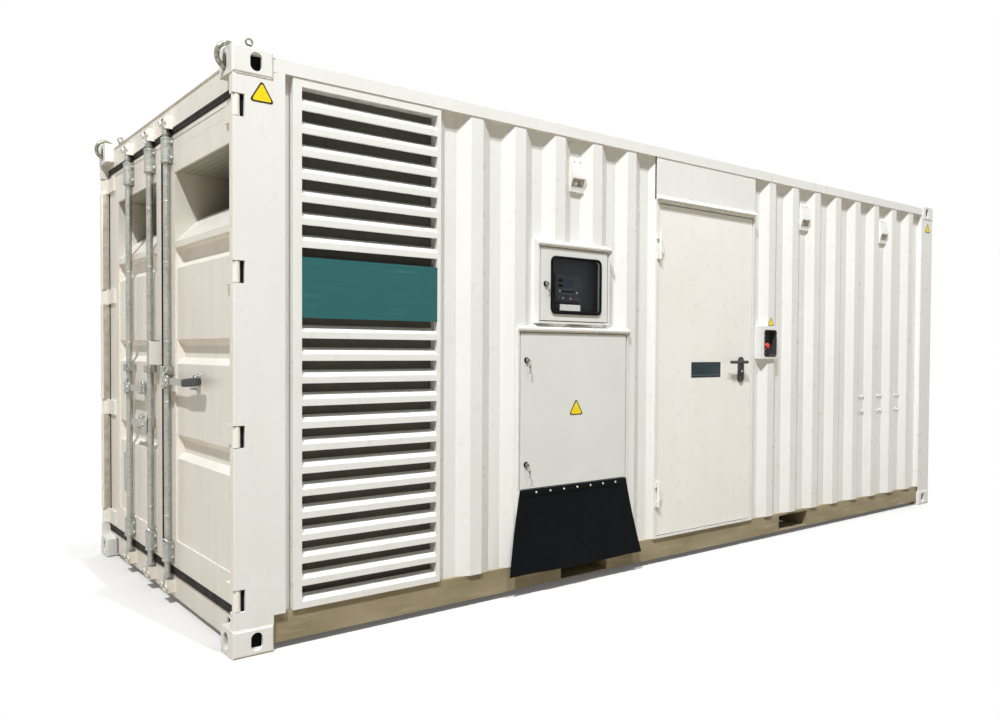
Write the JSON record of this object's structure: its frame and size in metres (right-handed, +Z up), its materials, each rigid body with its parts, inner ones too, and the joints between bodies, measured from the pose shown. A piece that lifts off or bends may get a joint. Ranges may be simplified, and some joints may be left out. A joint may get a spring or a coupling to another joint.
{
  "type": "containerised generator set",
  "caption": "Steel container generator set with louvred inlets, cargo doors with discharge hoods and lock rods, a service door, control and power cabinets, a cable skirt and a stop button.",
  "frame": {"origin": "middle of the base, level with the undersides of the four bottom corner castings", "axes": "+X along the container from the cargo doors to the blank end, +Z up, the cabinets and the service door on the -Y side"},
  "size_m": [6.12, 2.484, 2.6648],
  "materials": {
    "white_paint": "satin off-white paint",
    "cream_paint": "satin cream-white paint",
    "khaki_paint": "matte khaki underbody paint",
    "teal_paint": "satin blue-green paint",
    "grey_paint": "satin light grey paint",
    "black_paint": "matte black paint",
    "zinc": "dull hot-dip galvanised steel",
    "lining": "dull perforated facing of the insulation",
    "rubber": "matte black rubber",
    "black_plastic": "matte black plastic",
    "red_plastic": "glossy red plastic",
    "window": "clear window sheet"
  },
  "bodies": {
    "container": {"bottom_castings": "white_paint", "top_castings": "white_paint", "door_end_posts": "white_paint", "front_posts": "white_paint", "bottom_side_rails": "khaki_paint", "cross_members": "khaki_paint", "fork_pockets": "khaki_paint", "floor_plate": "khaki_paint", "door_sill": "cream_paint", "door_header": "cream_paint", "front_rails": "white_paint", "top_side_rails": "white_paint", "roof_sheet": "white_paint", "near_wall_middle": "white_paint", "near_wall_front": "white_paint", "far_wall": "white_paint", "front_wall": "white_paint", "side_linings": "lining", "roof_lining": "lining", "front_lining": "lining", "near_louvre": "white_paint", "far_louvre": "white_paint", "louvre_screens": "black_paint", "band_plate": "teal_paint", "service_door_frame": "white_paint", "service_door_cover": "white_paint", "control_cabinet": "white_paint", "controller": "black_plastic", "power_cabinet": "white_paint", "cable_skirt": "rubber", "stop_box": "white_paint", "stop_panel": "black_plastic", "wall_brackets": "white_paint", "cam_keepers": "cream_paint", "lifting_shackles": "zinc"},
    "near_cargo_door_leaf": {"near_cargo_door": "cream_paint", "near_discharge_hood": "cream_paint", "near_door_gasket": "rubber", "near_rod_guides": "zinc"},
    "far_cargo_door_leaf": {"far_cargo_door": "cream_paint", "far_discharge_hood": "cream_paint", "far_door_gasket": "rubber", "far_rod_guides": "zinc"},
    "near_rod": {"near_lock_rod": "zinc", "near_handle_grip": "black_plastic"},
    "far_inner_rod": {"far_inner_lock_rod": "zinc"},
    "far_outer_rod": {"far_outer_lock_rod": "zinc"},
    "service_door_leaf": {"service_door": "white_paint", "lock_plate": "black_paint"},
    "lever": {"service_lever": "black_plastic"},
    "control_cabinet_door": {"control_door": "grey_paint", "control_window": "black_plastic", "control_glass": "window"},
    "power_cabinet_door": {"power_door": "grey_paint"},
    "emergency_button": {"stop_button": "red_plastic"}
  },
  "joints": [
    {"name": "near_cargo_door_hinge", "type": "hinge", "parent": "container", "child": "near_cargo_door_leaf", "pos_m": [-3.007, -1.197, 1.2855], "axis": [0, 0, 1], "range_deg": [0, 255]},
    {"name": "far_cargo_door_hinge", "type": "hinge", "parent": "container", "child": "far_cargo_door_leaf", "pos_m": [-3.007, 1.197, 1.2855], "axis": [0, 0, -1], "range_deg": [0, 255]},
    {"name": "near_lock_rod_turn", "type": "hinge", "parent": "near_cargo_door_leaf", "child": "near_rod", "pos_m": [-3.001, -0.169, 1.285], "axis": [0, 0, 1], "range_deg": [-100, 0]},
    {"name": "far_inner_lock_rod_turn", "type": "hinge", "parent": "far_cargo_door_leaf", "child": "far_inner_rod", "pos_m": [-3.001, 0.153, 1.285], "axis": [0, 0, -1], "range_deg": [-100, 0]},
    {"name": "far_outer_lock_rod_turn", "type": "hinge", "parent": "far_cargo_door_leaf", "child": "far_outer_rod", "pos_m": [-3.001, 0.603, 1.285], "axis": [0, 0, 1], "range_deg": [-100, 0]},
    {"name": "service_door_hinge", "type": "hinge", "parent": "container", "child": "service_door_leaf", "pos_m": [-0.433, -1.221, 1.201], "axis": [0, 0, -1], "range_deg": [0, 110]},
    {"name": "service_lever_turn", "type": "hinge", "parent": "service_door_leaf", "child": "lever", "pos_m": [0.379, -1.227, 1.25], "axis": [0, -1, 0], "range_deg": [0, 45], "stiffness_Nm_per_rad": 1},
    {"name": "control_door_hinge", "type": "hinge", "parent": "container", "child": "control_cabinet_door", "pos_m": [-0.889, -1.215, 1.683], "axis": [0, 0, -1], "range_deg": [-105, 0]},
    {"name": "power_door_hinge", "type": "hinge", "parent": "container", "child": "power_cabinet_door", "pos_m": [-0.733, -1.215, 0.993], "axis": [0, 0, -1], "range_deg": [-105, 0]},
    {"name": "stop_button_press", "type": "slide", "parent": "container", "child": "emergency_button", "axis": [0, 1, 0], "range_m": [0, 0.005], "stiffness_N_per_m": 400}
  ]
}
